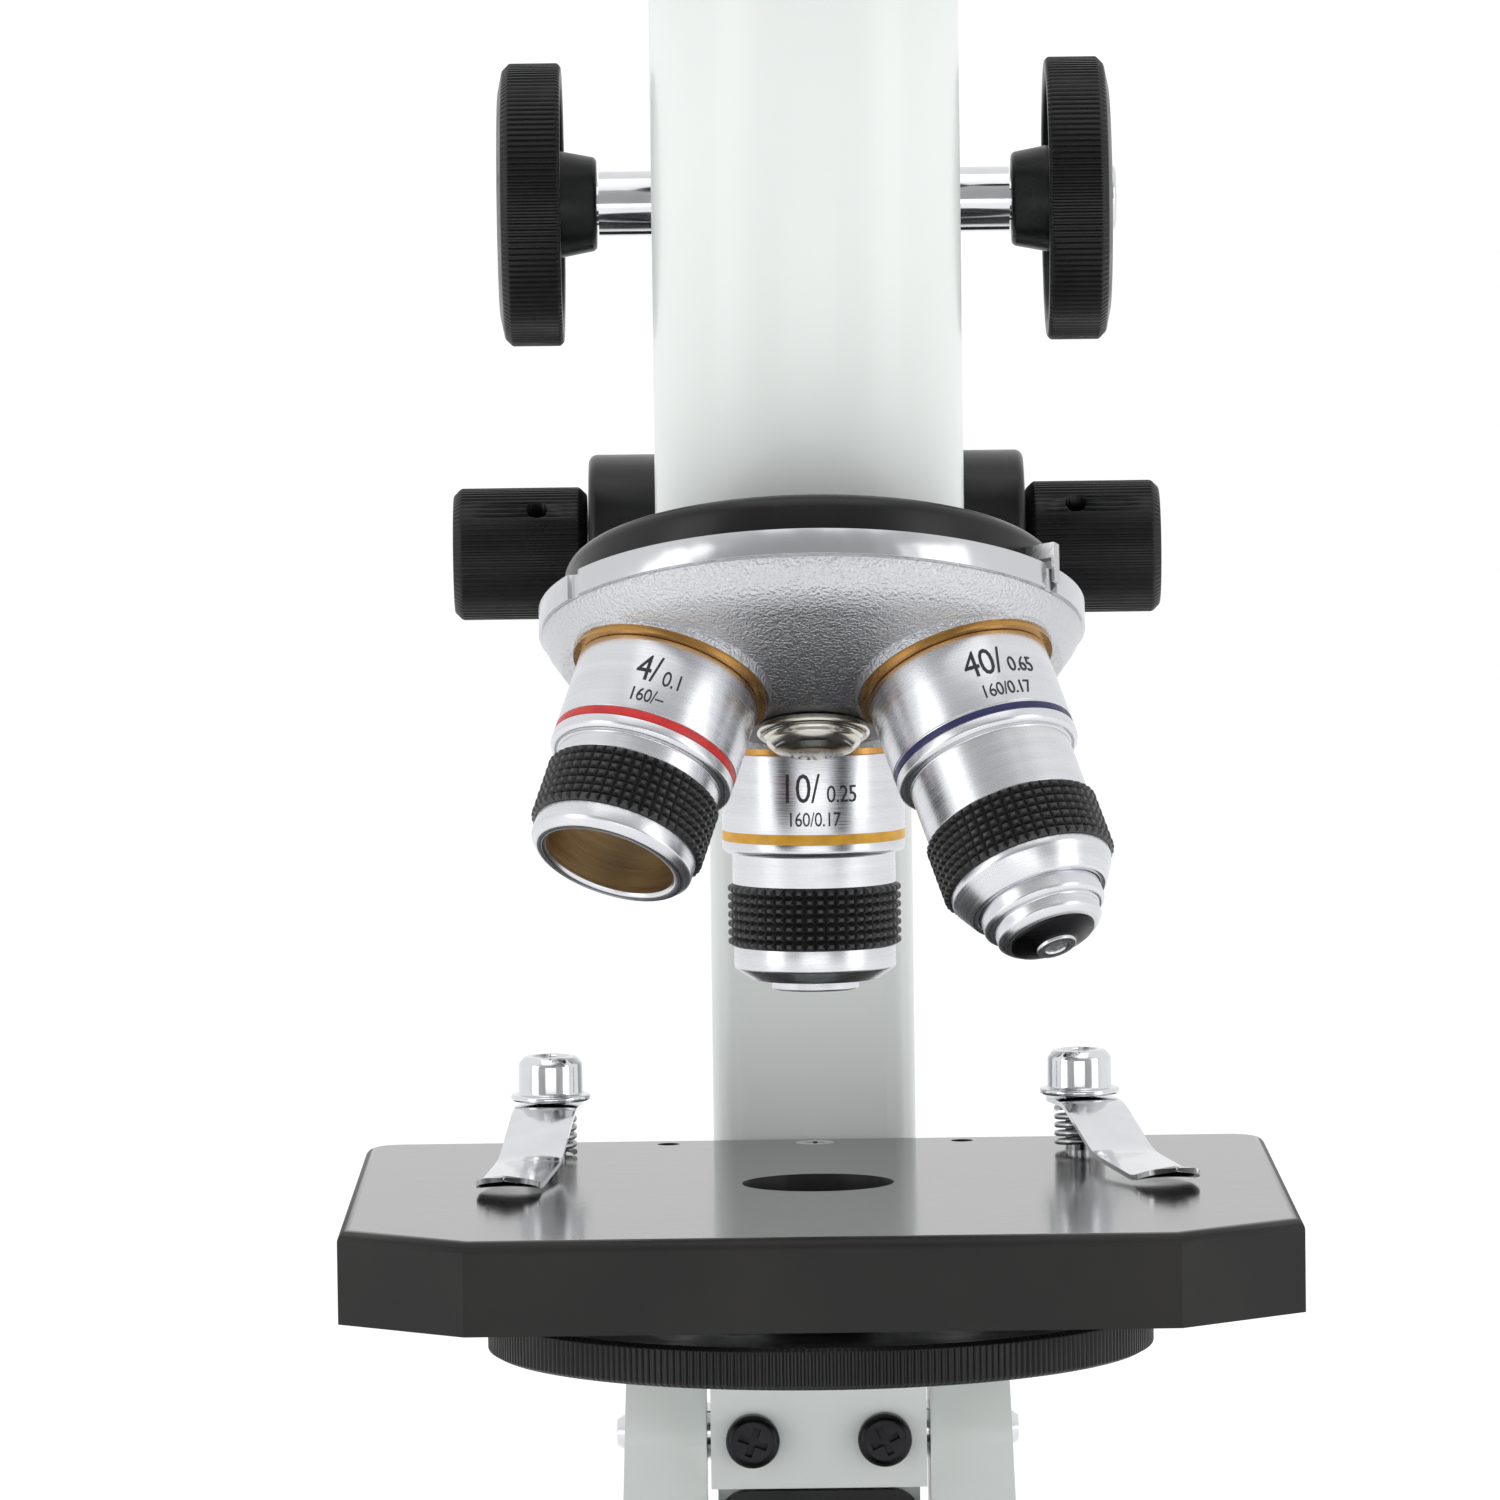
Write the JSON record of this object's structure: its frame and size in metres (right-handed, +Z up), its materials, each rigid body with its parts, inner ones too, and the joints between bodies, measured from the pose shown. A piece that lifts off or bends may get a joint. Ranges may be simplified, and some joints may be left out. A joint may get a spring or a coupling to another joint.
{
  "type": "microscope",
  "caption": "Monocular student microscope with a tilted objective turret, plain stage with spring clips, coarse and fine focus knobs, tilting arm and lit base.",
  "frame": {"origin": "on the table under the middle of the base", "axes": "+Z up, +Y from the optical axis towards the arm, +X to the right seen from the nosepiece side"},
  "size_m": [0.124, 0.17, 0.3704],
  "materials": {
    "white_enamel": "smooth off-white enamel",
    "black_plastic": "fine satin",
    "black_gloss": "gloss black",
    "black_knob": "ribbed satin black",
    "black_disc": "satin black with a knurled rim",
    "black_enamel": "gloss black enamel with light orange peel",
    "rubber": "matt",
    "steel": "turned",
    "black_screw": "blackened steel",
    "chrome": "polished",
    "nickel": "polished nickel",
    "glass": "clear",
    "circuit_board": "solder mask",
    "cell_jacket": "printed film",
    "brass": "turned",
    "sand_silver": "sand-textured silver",
    "objective_chrome": "satin chrome"
  },
  "bodies": {
    "base": {"base_casting": "white_enamel", "base_plate": "black_plastic", "rubber_feet": "rubber", "base_plate_screws": "steel", "fork_cover": "black_plastic", "tilt_pin": "chrome", "lamp_housing": "black_plastic", "lamp_lens": "glass", "led_board": "circuit_board", "battery_cells": "cell_jacket", "switch_frame": "black_plastic"},
    "battery_door": {"battery_door": "black_plastic"},
    "power_switch": {"power_switch": "black_plastic"},
    "arm": {"column": "white_enamel", "stage_bracket": "white_enamel", "bracket_screws": "black_screw", "stage_plate": "black_enamel", "stage_screw": "chrome", "condenser_lens": "glass", "diaphragm_screw": "steel", "clip_posts": "chrome", "clip_springs": "steel", "focus_drum": "black_gloss", "fine_bushes": "brass"},
    "aperture_disc": {"diaphragm_disc": "black_disc"},
    "left_clip": {"left_clip": "chrome"},
    "right_clip": {"right_clip": "chrome"},
    "fine_knobs": {"fine_shaft": "steel", "left_fine_knob": "black_knob", "right_fine_knob": "black_knob", "fine_set_screws": "black_screw"},
    "fine_wedge": {"fine_wedge": "brass"},
    "limb": {"limb": "white_enamel", "coarse_guide": "black_enamel", "coarse_sleeves": "chrome"},
    "coarse_knobs": {"coarse_shaft": "chrome", "left_coarse_knob": "black_knob", "right_coarse_knob": "black_knob"},
    "tube": {"body_tube": "white_enamel", "tube_slide": "steel", "rack": "brass", "nosepiece_ring": "black_gloss", "detent_spring": "steel", "turret_screw": "nickel", "head_collar": "black_gloss", "head_screw": "black_knob"},
    "turret": {"turret": "sand_silver", "seat_rings": "brass", "objective_4x": "objective_chrome", "objective_10x": "objective_chrome", "objective_40x": "objective_chrome", "objective_40x_spring": "steel", "objective_lenses": "glass"},
    "spring_nose": {"objective_40x_nose": "objective_chrome", "objective_40x_lens": "glass"},
    "head": {"head_casting": "white_enamel", "prism": "glass", "eyepiece_tube": "chrome"},
    "eyepiece": {"eyepiece": "black_knob", "eyepiece_lenses": "glass"}
  },
  "joints": [
    {"name": "arm_tilt", "type": "hinge", "parent": "base", "child": "arm", "pos_m": [0, 0.045, 0.0825], "axis": [-1, 0, 0], "range_deg": [0, 45]},
    {"name": "battery_door_slide", "type": "slide", "parent": "base", "child": "battery_door", "axis": [0, 1, 0], "range_m": [0, 0.052]},
    {"name": "switch_rock", "type": "hinge", "parent": "base", "child": "power_switch", "pos_m": [0.037, -0.058, 0.034], "axis": [1, 0, 0], "range_deg": [0, 14]},
    {"name": "aperture_turn", "type": "hinge", "parent": "arm", "child": "aperture_disc", "pos_m": [0, -0.0398, 0.109], "axis": [0, 0, 1], "continuous": true},
    {"name": "left_clip_swing", "type": "hinge", "parent": "arm", "child": "left_clip", "pos_m": [-0.0357, 0.012, 0.125], "axis": [0, 0, 1], "range_deg": [-45, 28]},
    {"name": "right_clip_swing", "type": "hinge", "parent": "arm", "child": "right_clip", "pos_m": [0.0357, 0.012, 0.125], "axis": [0, 0, 1], "range_deg": [-35, 38]},
    {"name": "fine_focus", "type": "slide", "parent": "arm", "child": "limb", "axis": [0, 0, 1], "range_m": [-0.001, 0.001]},
    {"name": "fine_turn", "type": "hinge", "parent": "arm", "child": "fine_knobs", "pos_m": [0, 0.045, 0.2048], "axis": [1, 0, 0], "range_deg": [-905, 905]},
    {"name": "wedge_shift", "type": "slide", "parent": "arm", "child": "fine_wedge", "axis": [1, 0, 0], "range_m": [-0.00252, 0.00252]},
    {"name": "coarse_focus", "type": "slide", "parent": "limb", "child": "tube", "axis": [0, 0, 1], "range_m": [-0.0125, 0.02]},
    {"name": "coarse_turn", "type": "hinge", "parent": "limb", "child": "coarse_knobs", "pos_m": [0, 0.012, 0.2533], "axis": [1, 0, 0], "range_deg": [-240, 150]},
    {"name": "turret_turn", "type": "hinge", "parent": "tube", "child": "turret", "pos_m": [0, -0.023, 0.2442], "axis": [0, -0.342, -0.9397], "continuous": true},
    {"name": "spring_nose_push", "type": "slide", "parent": "turret", "child": "spring_nose", "axis": [-0.2962, 0.4821, 0.8245], "range_m": [0, 0.002], "stiffness_N_per_m": 800, "springref_m": -0.002, "deforming": ["objective_40x_spring"]},
    {"name": "head_swivel", "type": "hinge", "parent": "tube", "child": "head", "pos_m": [0, -0.023, 0.29], "axis": [0, 0, 1], "continuous": true},
    {"name": "eyepiece_lift", "type": "slide", "parent": "head", "child": "eyepiece", "axis": [0, 0.7071, 0.7071], "range_m": [0, 0.025]}
  ],
  "couplings": [
    {"joint": "fine_turn", "follows": "fine_focus", "rad_per_m": 15708},
    {"joint": "wedge_shift", "follows": "fine_focus", "ratio": 2.5},
    {"joint": "coarse_turn", "follows": "coarse_focus", "rad_per_m": -208.33}
  ]
}
